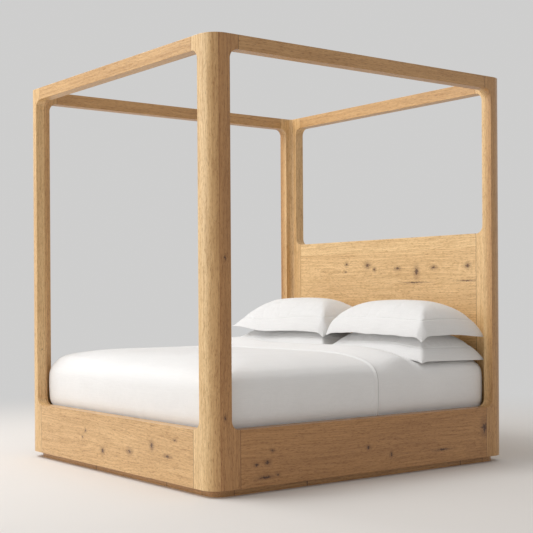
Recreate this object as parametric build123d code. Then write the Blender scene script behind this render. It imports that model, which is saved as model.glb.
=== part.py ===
from build123d import *
import os

# Four poster canopy bed in oak, for a king mattress.
# Frame: origin on the floor under the middle of the bed, X across, Y from foot to head, Z up. Millimetres.

# Mattress and the gap that it keeps from the rails
MATTRESS_WIDTH = 1930.0
MATTRESS_LENGTH = 2032.0
MATTRESS_GAP = 19.0
MATTRESS_CORNER = 70.0
MATTRESS_DROP = 57.0

# Posts and rails
TIMBER = 70.0
HEIGHT = 2373.0
POST_LEG = 122.0
POST_RADIUS = 100.0
OPENING_RADIUS = 50.0
EAR_RUN = 2.0
TOP_RAIL_HEIGHT = 76.0
BASE_RAIL_HEIGHT = 305.0
EDGE_EASE = 2.0
SEAM_EASE = 0.8

# Headboard
HEADBOARD_TOP = 1418.0
HEADBOARD_RAIL = 90.0
PANEL_THICKNESS = 30.0
PANEL_BOARDS = 3

# Plinth
PLINTH_HEIGHT = 37.0
PLINTH_SETBACK = 46.0
PLINTH_BOARD = 40.0
PLINTH_RADIUS = 70.0
PLINTH_CORNER = 165.0
PLINTH_END_FIRST = 646.0
PLINTH_END_LAST = 343.0
PLINTH_SIDE_FIRST = 486.0
PLINTH_SIDE_LAST = 197.0

# Slats, cleats and centre beam
SLAT_COUNT = 12
SLAT_WIDTH = 95.0
SLAT_THICKNESS = 20.0
SLAT_END_GAP = 3.0
SLAT_EASE = 3.0
CLEAT_HEIGHT = 45.0
CLEAT_DEPTH = 32.0
CLEAT_HOUSING = 6.0
BEAM_WIDTH = 50.0
BEAM_HEIGHT = 90.0
HANGER_STEEL = 3.0
HANGER_FLANGE = 34.0
HANGER_REACH = 45.0
HANGER_CLEARANCE = 0.3

# Centre legs and their screw levellers
LEG_WIDTH = 60.0
LEG_SPACING = 650.0
LEG_COUNT = 3
LEG_GROUND_GAP = 30.0
STEM_RADIUS = 4.85
STEM_LENGTH = 72.0
STEM_CLEARANCE = 0.15
INSERT_RADIUS = 8.0
INSERT_LENGTH = 25.0
INSERT_FLANGE_RADIUS = 12.0
INSERT_FLANGE = 2.0
INSERT_CLEARANCE = 0.1
STEM_POCKET_DEPTH = 60.0
STEM_NUT_FLATS = 17.0
STEM_NUT_HEIGHT = 6.0
STEM_NUT_GAP = 2.0
PAD_RADIUS = 20.0
PAD_HEIGHT = 10.0
PAD_FLOOR = 3.0
PAD_EASE = 2.0

# Loose tenons, tie plates and connector bolts
TENON_LENGTH = 90.0
TENON_WIDTH = 44.0
TENON_THICKNESS = 14.0
TENON_CLEARANCE = 0.2
TIE_LENGTH = 140.0
TIE_WIDTH = 36.0
TIE_THICKNESS = 4.0
TIE_CLEARANCE = 0.3
TIE_ABOVE_PLINTH = 70.0
BOLT_REACH = 54.0
BOLT_RADIUS = 4.0
BOLT_LENGTH = 40.0
BOLT_HEAD_RADIUS = 7.0
BOLT_HEAD_HEIGHT = 4.0
BOLT_CLEARANCE = 0.2

# Bedding
COVERLET_THICKNESS = 8.0
COVERLET_LENGTH = 1116.0
COVERLET_TUCK = 12.0
SOFT_CLEARANCE = 0.6
PILLOW_MEET = 8.0
PILLOW_GAP = 20.0
PILLOW_OVERHANG = 3.0
PILLOW_DEPTH = 541.0
PILLOW_BACK_GAP = 32.0
PILLOW_TAPER = 60.0
PILLOW_FLANGE = 8.0
LEFT_PILLOW_LIFT = 22.0
PILLOW_SETTLE = 1.15

# Sizes that follow from the ones above
WIDTH = MATTRESS_WIDTH + 2 * (MATTRESS_GAP + TIMBER)
LENGTH = MATTRESS_LENGTH + 2 * (MATTRESS_GAP + TIMBER)
INNER_WIDTH = WIDTH - 2 * TIMBER
INNER_LENGTH = LENGTH - 2 * TIMBER
EAR = POST_LEG + OPENING_RADIUS + EAR_RUN
RAIL_TOP = PLINTH_HEIGHT + BASE_RAIL_HEIGHT
CANOPY_BOTTOM = HEIGHT - TOP_RAIL_HEIGHT
END_RAIL_HALF = WIDTH / 2 - EAR
SIDE_RAIL_HALF = LENGTH / 2 - EAR
SLAT_TOP = RAIL_TOP - MATTRESS_DROP
CLEAT_TOP = SLAT_TOP - SLAT_THICKNESS
BEAM_BOTTOM = CLEAT_TOP - BEAM_HEIGHT
TIE_RECESS = TIE_THICKNESS + BOLT_HEAD_HEIGHT + TIE_CLEARANCE
PANEL_TOP = HEADBOARD_TOP - HEADBOARD_RAIL
PANEL_BOARD = (PANEL_TOP - RAIL_TOP) / PANEL_BOARDS
LEG_PLACES = [LEG_SPACING * (index - (LEG_COUNT - 1) / 2) for index in range(LEG_COUNT)]
DIAGONAL = Plane(origin=(0, 0, 0), z_dir=(1, -1, 0))
TOUCH = 0.01

# Levels of the made-up mattress: how far each draws in from the widest, and its height above the slats
MATTRESS_LEVELS = (
    (8.0, 0.0),
    (0.0, 22.0),
    (0.0, 250.0),
    (10.0, 292.0),
    (30.0, 318.0),
    (66.0, 342.0),
    (140.0, 364.0),
    (290.0, 388.0),
    (480.0, 398.0),
)
MATTRESS_TOP = SLAT_TOP + MATTRESS_LEVELS[-1][1]

# Stations across a pillow, from its inner end to its outer end, with heights above the mattress top:
# share of the width, front rim, back rim, middle of the underside, middle of the crown
LOWER_RIGHT_PILLOW = (
    (0.00, 1.7, -50.0, -2.0, 14.0),
    (0.06, 1.7, -50.0, -2.0, 62.0),
    (0.18, 1.7, -50.0, -2.0, 124.0),
    (0.32, 1.7, -50.0, -2.0, 147.0),
    (0.50, 1.7, -50.0, -2.0, 152.0),
    (0.68, -6.0, -52.0, -6.0, 144.0),
    (0.82, -23.0, -54.0, -12.0, 116.0),
    (0.94, -32.0, -55.0, -22.0, 40.0),
    (1.00, -36.0, -56.0, -30.0, -16.0),
)
LOWER_LEFT_PILLOW = (
    *LOWER_RIGHT_PILLOW[:4],
    (0.50, 6.0, -47.0, -2.0, 152.0),
    (0.68, 20.0, -39.0, 2.0, 145.0),
    (0.82, 26.0, -31.0, 5.0, 120.0),
    (0.94, 27.0, -27.0, 6.0, 54.0),
    (1.00, 26.0, -25.0, 6.0, 20.0),
)
UPPER_RIGHT_PILLOW = (
    (0.00, 90.0, 100.0, 98.0, 112.0),
    (0.06, 89.0, 100.0, 112.0, 198.0),
    (0.18, 88.0, 101.0, 143.0, 284.0),
    (0.32, 87.0, 101.0, 153.0, 310.0),
    (0.50, 86.0, 102.0, 153.8, 314.0),
    (0.68, 81.0, 102.0, 151.0, 309.0),
    (0.82, 77.0, 101.0, 136.0, 280.0),
    (0.94, 74.0, 100.0, 104.0, 190.0),
    (1.00, 72.0, 100.0, 92.0, 106.0),
)
UPPER_LEFT_PILLOW = (
    *UPPER_RIGHT_PILLOW[:4],
    (0.50, 100.0, 109.0, 153.8, 314.0),
    (0.68, 121.0, 121.0, 155.0, 309.0),
    (0.82, 136.0, 130.0, 150.0, 278.0),
    (0.94, 142.0, 134.0, 144.0, 190.0),
    (1.00, 142.0, 135.0, 143.0, 133.0),
)


def block(x0, x1, y0, y1, z0, z1):
    """Rectangular block between two opposite corners."""
    box = Box(x1 - x0, y1 - y0, z1 - z0)
    return Pos((x0 + x1) / 2, (y0 + y1) / 2, (z0 + z1) / 2) * box


def rod(radius, z0, z1):
    """Upright round bar on the Z axis."""
    return Pos(0, 0, (z0 + z1) / 2) * Cylinder(radius, z1 - z0)


def both_legs(shape):
    """A corner's shape on the leg along X, and its twin on the leg along Y."""
    return [shape, mirror(shape, about=DIAGONAL)]


def across(shape):
    """A shape and its twin on the other side of the bed."""
    return [shape, mirror(shape, about=Plane.YZ)]


def along(shape):
    """A shape and its twin at the other end of the bed."""
    return [shape, mirror(shape, about=Plane.XZ)]


def at_corners(shapes):
    """Copies of a corner's shapes at the four corners of the bed."""
    placed = [Pos(-WIDTH / 2, -LENGTH / 2, 0) * shape for shape in shapes]
    pairs = [twin for shape in placed for twin in across(shape)]
    return [twin for shape in pairs for twin in along(shape)]


# Joint hardware, built once on the leg along X of a corner that stands at the origin
def tenon(extra, height, depth):
    """Loose tenon across a rail seam at a height, its middle at a depth from the outer face."""
    half_length = TENON_LENGTH / 2 + extra
    half_thickness = TENON_THICKNESS / 2 + extra
    half_width = TENON_WIDTH / 2 + extra
    body = Box(2 * half_length, 2 * half_thickness, 2 * half_width)
    return Pos(EAR, depth, height) * body


def corner_tenons(extra):
    """Tenons that every corner has: one in each canopy seam, two in each base seam."""
    canopy = (CANOPY_BOTTOM + HEIGHT) / 2
    lower = PLINTH_HEIGHT + BASE_RAIL_HEIGHT / 4
    upper = PLINTH_HEIGHT + BASE_RAIL_HEIGHT * 3 / 4
    heights = (canopy, lower, upper)
    return [twin for height in heights for twin in both_legs(tenon(extra, height, TIMBER / 2))]


def headboard_tenons(extra):
    """Tenons between the headboard and the head posts."""
    panel_depth = TIMBER - PANEL_THICKNESS / 2
    shapes = [tenon(extra, HEADBOARD_TOP - HEADBOARD_RAIL / 2, TIMBER / 2)]
    for index in range(PANEL_BOARDS):
        shapes.append(tenon(extra, RAIL_TOP + (index + 0.5) * PANEL_BOARD, panel_depth))
    placed = [Pos(-WIDTH / 2, -LENGTH / 2, 0) * shape for shape in shapes]
    return [twin for shape in placed for twin in across(mirror(shape, about=Plane.XZ))]


def leg_tenons(extra):
    """Upright tenons between the centre beam and its legs."""
    body = Box(TENON_THICKNESS + 2 * extra, TENON_WIDTH + 2 * extra, TENON_LENGTH + 2 * extra)
    return [Pos(0, place, BEAM_BOTTOM) * body for place in LEG_PLACES]


def bolt(extra):
    """Connector bolt, head upwards, its head seated on the plane z = 0."""
    shank = rod(BOLT_RADIUS + extra, -BOLT_LENGTH - extra, 0)
    if extra:
        return shank
    return shank + rod(BOLT_HEAD_RADIUS, 0, BOLT_HEAD_HEIGHT)


def tie_plate():
    """Flat steel plate with a bolt hole at each end, lying in its recess below the plane z = 0."""
    bottom = -TIE_RECESS
    plate = block(-TIE_LENGTH / 2, TIE_LENGTH / 2, -TIE_WIDTH / 2, TIE_WIDTH / 2, bottom, bottom + TIE_THICKNESS)
    for reach in (-BOLT_REACH, BOLT_REACH):
        plate -= Pos(reach, 0, bottom) * rod(BOLT_RADIUS + BOLT_CLEARANCE, 0, TIE_THICKNESS)
    return plate


def tie_bolts(extra):
    """The two bolts of a tie plate, or their pilot holes."""
    seat = TIE_THICKNESS - TIE_RECESS
    return [Pos(reach, 0, seat) * bolt(extra) for reach in (-BOLT_REACH, BOLT_REACH)]


def tie_recess():
    """Recess and pilot holes that a tie plate needs."""
    half_length = TIE_LENGTH / 2 + TIE_CLEARANCE
    half_width = TIE_WIDTH / 2 + TIE_CLEARANCE
    pocket = block(-half_length, half_length, -half_width, half_width, -TIE_RECESS, EDGE_EASE)
    return [pocket] + tie_bolts(BOLT_CLEARANCE)


def on_ties(shapes):
    """Shapes of one tie, placed inside the base rails at all corners."""
    seat = Pos(EAR, TIMBER, PLINTH_HEIGHT + TIE_ABOVE_PLINTH) * Rot(-90, 0, 0)
    return at_corners([twin for shape in shapes for twin in both_legs(seat * shape)])


# Posts
def post_leg(ear_top):
    """Leg of a post along X, with its ears and the round corners of the opening."""
    outline = make_face(
        Polyline(
            (POST_RADIUS, PLINTH_HEIGHT),
            (EAR, PLINTH_HEIGHT),
            (EAR, ear_top),
            (POST_LEG, ear_top),
            (POST_LEG, CANOPY_BOTTOM),
            (EAR, CANOPY_BOTTOM),
            (EAR, HEIGHT),
            (POST_RADIUS, HEIGHT),
            close=True,
        )
    )
    corners = [v for v in outline.vertices() if abs(v.X - POST_LEG) < TOUCH]
    outline = fillet(corners, OPENING_RADIUS)
    return extrude(Plane.XZ * outline, -TIMBER)


def post_edges(post):
    """Long edges of a post that are eased: its two ends and its openings, but not its seams."""
    chosen = []
    for edge in post.edges():
        middle = edge.center()
        near, far = sorted((middle.X, middle.Y))
        if far > EAR - TOUCH:
            continue
        level = min(abs(middle.Z - PLINTH_HEIGHT), abs(middle.Z - HEIGHT)) < TOUCH
        on_face = min(abs(near), abs(near - TIMBER)) < TOUCH
        if level or (on_face and far > POST_LEG - TOUCH):
            chosen.append(edge)
    return chosen


def post(end_ear_top):
    """Corner post: quarter-round corner and two legs. The leg along X has its lower ear at end_ear_top."""
    ring = rod(POST_RADIUS, PLINTH_HEIGHT, HEIGHT) - rod(POST_RADIUS - TIMBER, PLINTH_HEIGHT, HEIGHT)
    quarter = block(0, POST_RADIUS, 0, POST_RADIUS, PLINTH_HEIGHT, HEIGHT)
    corner = (Pos(POST_RADIUS, POST_RADIUS, 0) * ring) & quarter
    whole = corner + post_leg(end_ear_top) + mirror(post_leg(RAIL_TOP), about=DIAGONAL)
    return fillet(post_edges(whole), EDGE_EASE)


# Rails, boards and slats
def bar(x0, x1, y0, y1, z0, z1, axis, ease):
    """Straight timber with eased long edges and finely chamfered ends."""
    timber = block(x0, x1, y0, y1, z0, z1)
    timber = fillet(timber.edges().filter_by(axis), ease)
    return chamfer(timber.faces().filter_by(axis).edges(), SEAM_EASE)


def end_rail(z0, z1):
    """Rail across the foot between the ears."""
    outer = -LENGTH / 2
    return bar(-END_RAIL_HALF, END_RAIL_HALF, outer, outer + TIMBER, z0, z1, Axis.X, EDGE_EASE)


def side_rail(z0, z1):
    """Rail along the left side between the ears."""
    outer = -WIDTH / 2
    return bar(outer, outer + TIMBER, -SIDE_RAIL_HALF, SIDE_RAIL_HALF, z0, z1, Axis.Y, EDGE_EASE)


def cleat_block(x0, x1):
    """Block at the height and length of a slat cleat on the left side."""
    return block(x0, x1, -SIDE_RAIL_HALF, SIDE_RAIL_HALF, CLEAT_TOP - CLEAT_HEIGHT, CLEAT_TOP)


def headboard_rail():
    """Top rail of the headboard, as thick as the posts."""
    outer = LENGTH / 2
    return bar(-END_RAIL_HALF, END_RAIL_HALF, outer - TIMBER, outer, PANEL_TOP, HEADBOARD_TOP, Axis.X, EDGE_EASE)


def headboard_board(index):
    """Panel board with finely chamfered edges, flush with the inner faces of the posts."""
    front = LENGTH / 2 - TIMBER
    z0 = RAIL_TOP + index * PANEL_BOARD
    board = block(-END_RAIL_HALF, END_RAIL_HALF, front, front + PANEL_THICKNESS, z0, z0 + PANEL_BOARD)
    return chamfer(board.edges(), SEAM_EASE)


def slat(index):
    """Slat across the bed on the two cleats and the centre beam."""
    reach = SIDE_RAIL_HALF - SLAT_WIDTH / 2 - SLAT_END_GAP
    middle = reach * (2 * index / (SLAT_COUNT - 1) - 1)
    half = INNER_WIDTH / 2 - SLAT_END_GAP
    return bar(
        -half, half, middle - SLAT_WIDTH / 2, middle + SLAT_WIDTH / 2, CLEAT_TOP, SLAT_TOP, Axis.X, SLAT_EASE
    )


# Plinth
def plinth_corner():
    """Rounded corner block of the plinth, for a corner at the origin."""
    inner = PLINTH_SETBACK + PLINTH_BOARD
    outline = make_face(
        Polyline(
            (PLINTH_SETBACK, PLINTH_SETBACK),
            (PLINTH_CORNER, PLINTH_SETBACK),
            (PLINTH_CORNER, inner),
            (inner, inner),
            (inner, PLINTH_CORNER),
            (PLINTH_SETBACK, PLINTH_CORNER),
            close=True,
        )
    )
    outer_corner = outline.vertices().sort_by_distance((0, 0, 0))[0]
    outline = fillet(outer_corner, PLINTH_RADIUS)
    return extrude(outline, PLINTH_HEIGHT)


def plinth_run(half, first, last):
    """Boards of one side of the plinth, laid end to end along X, the outer face on y = 0."""
    marks = (-half, -half + first, half - last, half)
    boards = []
    for start, stop in zip(marks, marks[1:]):
        board = block(start, stop, 0, PLINTH_BOARD, 0, PLINTH_HEIGHT)
        boards.append(chamfer(board.edges().filter_by(Axis.Z), SEAM_EASE))
    return boards


# Centre beam, hangers, legs and levellers
def beam():
    """Centre beam between the two hangers."""
    half = INNER_LENGTH / 2 - HANGER_STEEL
    return bar(
        -BEAM_WIDTH / 2, BEAM_WIDTH / 2, -half, half, BEAM_BOTTOM, CLEAT_TOP, Axis.Y, EDGE_EASE
    )


def hanger_bolts(extra):
    """Bolts of the hanger at the foot, or their pilot holes."""
    reach = (BEAM_WIDTH + HANGER_FLANGE) / 2 + HANGER_STEEL
    front = -INNER_LENGTH / 2 + HANGER_STEEL
    heights = (BEAM_BOTTOM + BEAM_HEIGHT / 4, BEAM_BOTTOM + BEAM_HEIGHT * 3 / 4)
    seats = [Pos(side * reach, front, height) * Rot(-90, 0, 0) for side in (-1, 1) for height in heights]
    return [seat * bolt(extra) for seat in seats]


def beam_hanger():
    """Pressed steel hanger at the foot: back plate, seat and two cheeks round the beam's end."""
    face = -INNER_LENGTH / 2
    pocket = BEAM_WIDTH / 2 + HANGER_CLEARANCE
    cheek = pocket + HANGER_STEEL
    wing = BEAM_WIDTH / 2 + HANGER_STEEL + HANGER_FLANGE
    seat = BEAM_BOTTOM - HANGER_STEEL
    back = block(-wing, wing, face, face + HANGER_STEEL, seat, CLEAT_TOP)
    cup = block(-cheek, cheek, face, face + HANGER_REACH, seat, CLEAT_TOP)
    room = block(-pocket, pocket, face + HANGER_STEEL, face + HANGER_REACH, BEAM_BOTTOM, CLEAT_TOP)
    hanger = back + (cup - room)
    for hole in hanger_bolts(BOLT_CLEARANCE):
        hanger -= hole
    return hanger


def centre_leg(place):
    """Square leg under the beam, bored from below for its insert and leveller."""
    half = LEG_WIDTH / 2
    leg = block(-half, half, -half, half, LEG_GROUND_GAP, BEAM_BOTTOM)
    leg = fillet(leg.edges().filter_by(Axis.Z), EDGE_EASE)
    leg -= rod(INSERT_RADIUS + INSERT_CLEARANCE, LEG_GROUND_GAP, LEG_GROUND_GAP + INSERT_LENGTH)
    leg -= rod(STEM_RADIUS + STEM_CLEARANCE, LEG_GROUND_GAP, LEG_GROUND_GAP + STEM_POCKET_DEPTH)
    return Pos(0, place, 0) * leg


def leg_insert(place):
    """Threaded insert with a flange under the leg."""
    body = rod(INSERT_RADIUS, LEG_GROUND_GAP, LEG_GROUND_GAP + INSERT_LENGTH)
    body += rod(INSERT_FLANGE_RADIUS, LEG_GROUND_GAP - INSERT_FLANGE, LEG_GROUND_GAP)
    body -= rod(STEM_RADIUS + STEM_CLEARANCE, 0, LEG_GROUND_GAP + INSERT_LENGTH)
    return Pos(0, place, 0) * body


def leveller_stem(place):
    """Threaded stem with a hexagon for a spanner, standing in the pad's socket."""
    nut_bottom = PAD_HEIGHT + STEM_NUT_GAP
    hexagon = RegularPolygon(STEM_NUT_FLATS / 2, 6, major_radius=False)
    stem = rod(STEM_RADIUS, PAD_FLOOR, PAD_FLOOR + STEM_LENGTH)
    stem += Pos(0, 0, nut_bottom) * extrude(hexagon, STEM_NUT_HEIGHT)
    return Pos(0, place, 0) * stem


def leveller_pad(place):
    """Round foot pad with the socket that the stem turns in."""
    pad = rod(PAD_RADIUS, 0, PAD_HEIGHT)
    pad = chamfer(pad.edges().group_by(Axis.Z)[-1], PAD_EASE)
    pad -= rod(STEM_RADIUS + STEM_CLEARANCE, PAD_FLOOR, PAD_HEIGHT)
    return Pos(0, place, 0) * pad


# Bedding
def mattress_form(grow):
    """Crowned mattress with drawn-in top edges, grown outwards and upwards by a thickness."""
    sections = []
    for inset, height in MATTRESS_LEVELS:
        width = MATTRESS_WIDTH - 2 * inset + 2 * grow
        length = MATTRESS_LENGTH - 2 * inset + 2 * grow
        outline = RectangleRounded(width, length, MATTRESS_CORNER + inset / 2 + grow)
        sections.append(Pos(0, 0, SLAT_TOP + height + grow) * outline)
    return loft(sections, ruled=True)


def coverlet():
    """Coverlet over the foot half of the mattress, tucked down inside the rails."""
    shell = mattress_form(COVERLET_THICKNESS) - mattress_form(SOFT_CLEARANCE)
    start = -MATTRESS_LENGTH / 2 - COVERLET_THICKNESS
    stop = -MATTRESS_LENGTH / 2 + COVERLET_LENGTH
    reach = MATTRESS_WIDTH / 2 + COVERLET_THICKNESS
    top = MATTRESS_TOP + COVERLET_THICKNESS
    return shell & block(-reach, reach, start, stop, SLAT_TOP + COVERLET_TUCK, top)


def pillow_station(x, front, back, rim_front, rim_back, under, crown):
    """Cross-section of a pillow: underside, back rim, crown and front rim."""
    middle = (front + back) / 2
    low_front = (x, front, rim_front)
    low_back = (x, back, rim_back)
    high_front = (x, front, rim_front + PILLOW_FLANGE)
    high_back = (x, back, rim_back + PILLOW_FLANGE)
    edges = [
        ThreePointArc(low_front, (x, middle, under), low_back),
        Line(low_back, high_back),
        ThreePointArc(high_back, (x, middle, crown), high_front),
        Line(high_front, low_front),
    ]
    return make_face(edges)


def pillow(stations, inner, outer, lift):
    """Pillow as a loft through its stations, its inner end shallower than its outer end."""
    back = LENGTH / 2 - TIMBER - PILLOW_BACK_GAP
    seat = MATTRESS_TOP - PILLOW_SETTLE
    sections = []
    for share, rim_front, rim_back, under, crown in stations:
        x = inner + (outer - inner) * share
        front = back - PILLOW_DEPTH + PILLOW_TAPER * (1 - share)
        heights = [seat + value for value in (rim_front, rim_back, under, crown + lift)]
        sections.append(pillow_station(x, front, back, *heights))
    return loft(sections)


def save(name, shapes):
    """Write a node of one or more solids."""
    group = Compound(children=shapes) if len(shapes) > 1 else shapes[0]
    export_step(group, f"parts/{name}.step")


os.makedirs("parts", exist_ok=True)

# Cuts that the joint hardware needs in posts, rails, headboard, beam and legs
mortises = at_corners(corner_tenons(TENON_CLEARANCE))
panel_mortises = headboard_tenons(TENON_CLEARANCE)
leg_mortises = leg_tenons(TENON_CLEARANCE)
recesses = on_ties(tie_recess())
frame_cuts = mortises + recesses
beam_seats = [twin for hole in hanger_bolts(BOLT_CLEARANCE) for twin in along(hole)]

foot_post = Pos(-WIDTH / 2, -LENGTH / 2, 0) * post(RAIL_TOP)
head_post = mirror(Pos(-WIDTH / 2, -LENGTH / 2, 0) * post(HEADBOARD_TOP), about=Plane.XZ)
for side, foot, head in zip(("left", "right"), across(foot_post), across(head_post)):
    save(f"post_foot_{side}", [foot - frame_cuts])
    save(f"post_head_{side}", [head - frame_cuts - panel_mortises])

canopy_end = end_rail(CANOPY_BOTTOM, HEIGHT)
base_end = end_rail(PLINTH_HEIGHT, RAIL_TOP)
for end, canopy, base in zip(("foot", "head"), along(canopy_end), along(base_end)):
    save(f"canopy_rail_{end}", [canopy - frame_cuts])
    save(f"base_rail_{end}", [base - frame_cuts - beam_seats])

canopy_side = side_rail(CANOPY_BOTTOM, HEIGHT)
inner_face = -INNER_WIDTH / 2
cleat_housing = cleat_block(inner_face - CLEAT_HOUSING, inner_face)
cleat = cleat_block(inner_face - CLEAT_HOUSING, inner_face - CLEAT_HOUSING + CLEAT_DEPTH)
base_side = side_rail(PLINTH_HEIGHT, RAIL_TOP) - cleat_housing
for side, canopy, base, ledge in zip(("left", "right"), across(canopy_side), across(base_side), across(cleat)):
    save(f"canopy_rail_{side}", [canopy - frame_cuts])
    save(f"base_rail_{side}", [base - frame_cuts])
    save(f"slat_cleat_{side}", [ledge])

save("headboard_rail", [headboard_rail() - panel_mortises])
for index in range(PANEL_BOARDS):
    save(f"headboard_board_{index + 1}", [headboard_board(index) - panel_mortises])

corner_names = ("foot_left", "head_left", "foot_right", "head_right")
for name, corner in zip(corner_names, at_corners([plinth_corner()])):
    save(f"plinth_corner_{name}", [corner])

end_boards = plinth_run(WIDTH / 2 - PLINTH_CORNER, PLINTH_END_FIRST, PLINTH_END_LAST)
end_boards = [Pos(0, -LENGTH / 2 + PLINTH_SETBACK, 0) * board for board in end_boards]
side_boards = plinth_run(LENGTH / 2 - PLINTH_CORNER, PLINTH_SIDE_FIRST, PLINTH_SIDE_LAST)
side_place = Pos(WIDTH / 2 - PLINTH_SETBACK, 0, 0) * Rot(0, 0, 90)
side_boards = [side_place * board for board in side_boards]
save("plinth_boards_foot", end_boards)
save("plinth_boards_head", [mirror(board, about=Plane.XZ) for board in end_boards])
save("plinth_boards_right", side_boards)
save("plinth_boards_left", [mirror(board, about=Plane.YZ) for board in side_boards])

for index in range(SLAT_COUNT):
    save(f"slat_{index + 1:02d}", [slat(index)])

save("centre_beam", [beam() - leg_mortises])
save("beam_hangers", along(beam_hanger()))
for index, place in enumerate(LEG_PLACES):
    save(f"centre_leg_{index + 1}", [centre_leg(place) - leg_mortises])
    save(f"leveller_stem_{index + 1}", [leveller_stem(place)])
    save(f"leveller_pad_{index + 1}", [leveller_pad(place)])
save("leg_inserts", [leg_insert(place) for place in LEG_PLACES])

save("loose_tenons", at_corners(corner_tenons(0)) + headboard_tenons(0) + leg_tenons(0))
save("tie_plates", on_ties([tie_plate()]))
hanger_fixings = [twin for fixing in hanger_bolts(0) for twin in along(fixing)]
save("connector_bolts", on_ties(tie_bolts(0)) + hanger_fixings)

save("mattress", [mattress_form(0)])
save("coverlet", [coverlet()])
right_inner = PILLOW_MEET + PILLOW_GAP / 2
left_inner = PILLOW_MEET - PILLOW_GAP / 2
pillow_reach = MATTRESS_WIDTH / 2 + PILLOW_OVERHANG
save("pillow_lower_right", [pillow(LOWER_RIGHT_PILLOW, right_inner, pillow_reach, 0)])
save("pillow_lower_left", [pillow(LOWER_LEFT_PILLOW, left_inner, -pillow_reach, 0)])
save("pillow_upper_right", [pillow(UPPER_RIGHT_PILLOW, right_inner, pillow_reach, 0)])
save("pillow_upper_left", [pillow(UPPER_LEFT_PILLOW, left_inner, -pillow_reach, LEFT_PILLOW_LIFT)])
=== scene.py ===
import math

import bpy
import numpy as np
from bpy.props import FloatProperty, FloatVectorProperty, IntProperty, PointerProperty
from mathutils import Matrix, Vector, noise


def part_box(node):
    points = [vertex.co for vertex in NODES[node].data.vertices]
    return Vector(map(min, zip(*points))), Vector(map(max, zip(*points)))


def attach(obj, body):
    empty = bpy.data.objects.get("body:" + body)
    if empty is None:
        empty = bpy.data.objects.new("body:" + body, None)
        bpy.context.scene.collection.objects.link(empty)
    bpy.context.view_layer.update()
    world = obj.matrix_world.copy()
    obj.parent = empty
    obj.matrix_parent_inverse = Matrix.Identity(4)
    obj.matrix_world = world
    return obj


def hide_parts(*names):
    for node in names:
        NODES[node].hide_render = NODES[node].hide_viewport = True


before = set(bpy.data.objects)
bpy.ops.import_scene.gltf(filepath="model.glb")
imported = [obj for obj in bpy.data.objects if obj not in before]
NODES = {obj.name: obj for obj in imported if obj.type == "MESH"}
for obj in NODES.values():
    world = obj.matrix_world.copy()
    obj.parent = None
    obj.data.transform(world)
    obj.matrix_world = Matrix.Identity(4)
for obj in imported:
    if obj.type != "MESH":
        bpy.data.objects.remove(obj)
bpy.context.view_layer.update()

bl_info = {
    "name": "Four Poster Canopy Bed",
    "version": (1, 0, 0),
    "blender": (4, 5, 0),
    "location": "View3D > Sidebar > Bed",
    "description": "Finishes the bed's frame in oak, and makes its bedding and its stage",
    "category": "Object",
}

# Places on the frame, in metres, with X across the bed, Y from foot to head and Z up
SLAT_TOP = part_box("mattress")[0].z
MATTRESS_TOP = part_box("mattress")[1].z
MATTRESS_HALF_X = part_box("mattress")[1].x
MATTRESS_HALF_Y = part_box("mattress")[1].y
COVERLET_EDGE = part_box("coverlet")[1].y
PILLOW_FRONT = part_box("pillow_lower_right")[0].y
COVERLET_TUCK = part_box("coverlet")[0].z
POST_HALF_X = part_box("post_foot_right")[1].x
POST_HALF_Y = -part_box("post_foot_right")[0].y
HEADBOARD_FACE = 1.035

# Width of the end stave of a foot post, and the seams along the plinth boards
END_STAVE = 0.058
PLINTH_END_SEAMS = (-0.243, 0.546)
PLINTH_SIDE_SEAMS = (-0.454, 0.743)

# Mattress: its corners and fuller left shoulder, and how it squares up, reaches out and swells at the head
MATTRESS_CORNER = 0.070
LEFT_SHOULDER = 0.020
HEAD_SQUARENESS = 0.95
HEAD_REACH = 0.008
HEAD_SWELL = 0.039

# Coverlet's hem: the height of its roll and how far that leans to the edge, the cuts that shape it as shares
# of its width, and the painted shadow of a fold along it where the cloth hangs: distance from the edge, half
# width with its fade, strength and colour
HEM_ROLL = 0.0095
HEM_LEAN = 2.6
HEM_CUTS = (0.0, 0.07, 0.14, 0.21, 0.30, 0.40, 0.55, 0.80, 1.25)
HEM_SHADOW_INSET = 0.009
HEM_SHADOW_WIDTH = (0.0012, 0.0030)
HEM_SHADOW_STRENGTH = 0.55
HEM_SHADOW_COLOUR = (0.300, 0.280, 0.260)

# Small folds of the sheet and of the coverlet: scale of the waves, seed, depth, and the heights above the
# slats between which they fade out. The slow swell of each has no fade
SHEET_FOLDS = (((16, 16, 2.2), 3.7, 0.0030, 0.20, 0.34), ((34, 34, 3.0), 9.1, 0.0018, 0.02, 0.24))
SHEET_SWELL = ((3.0, 3.0, 3.0), 21.0, 0.0020)
COVERLET_FOLDS = (((13, 13, 1.8), 43.0, 0.0024, 0.16, 0.33), ((30, 30, 2.6), 51.0, 0.0020, 0.03, 0.20))
COVERLET_SWELL = ((2.6, 2.6, 2.6), 77.0, 0.0016)

# How far the sheet's folds may stand out and how far it is drawn in, the space under the coverlet, and how
# far the coverlet's folds may sink
SHEET_RISE = 0.0015
SHEET_DRAW = 0.0010
COVERLET_SPACE = 0.0016
COVERLET_SINK = 0.0012

# Profile of the made-up mattress: how far it draws in, and its height above the slats
MATTRESS_PROFILE = (
    (0.014, 0.000),
    (0.012, 0.045),
    (0.004, 0.075),
    (0.000, 0.105),
    (0.000, 0.250),
    (0.010, 0.292),
    (0.030, 0.318),
    (0.066, 0.342),
    (0.140, 0.364),
    (0.290, 0.388),
    (0.480, 0.398),
)

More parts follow.
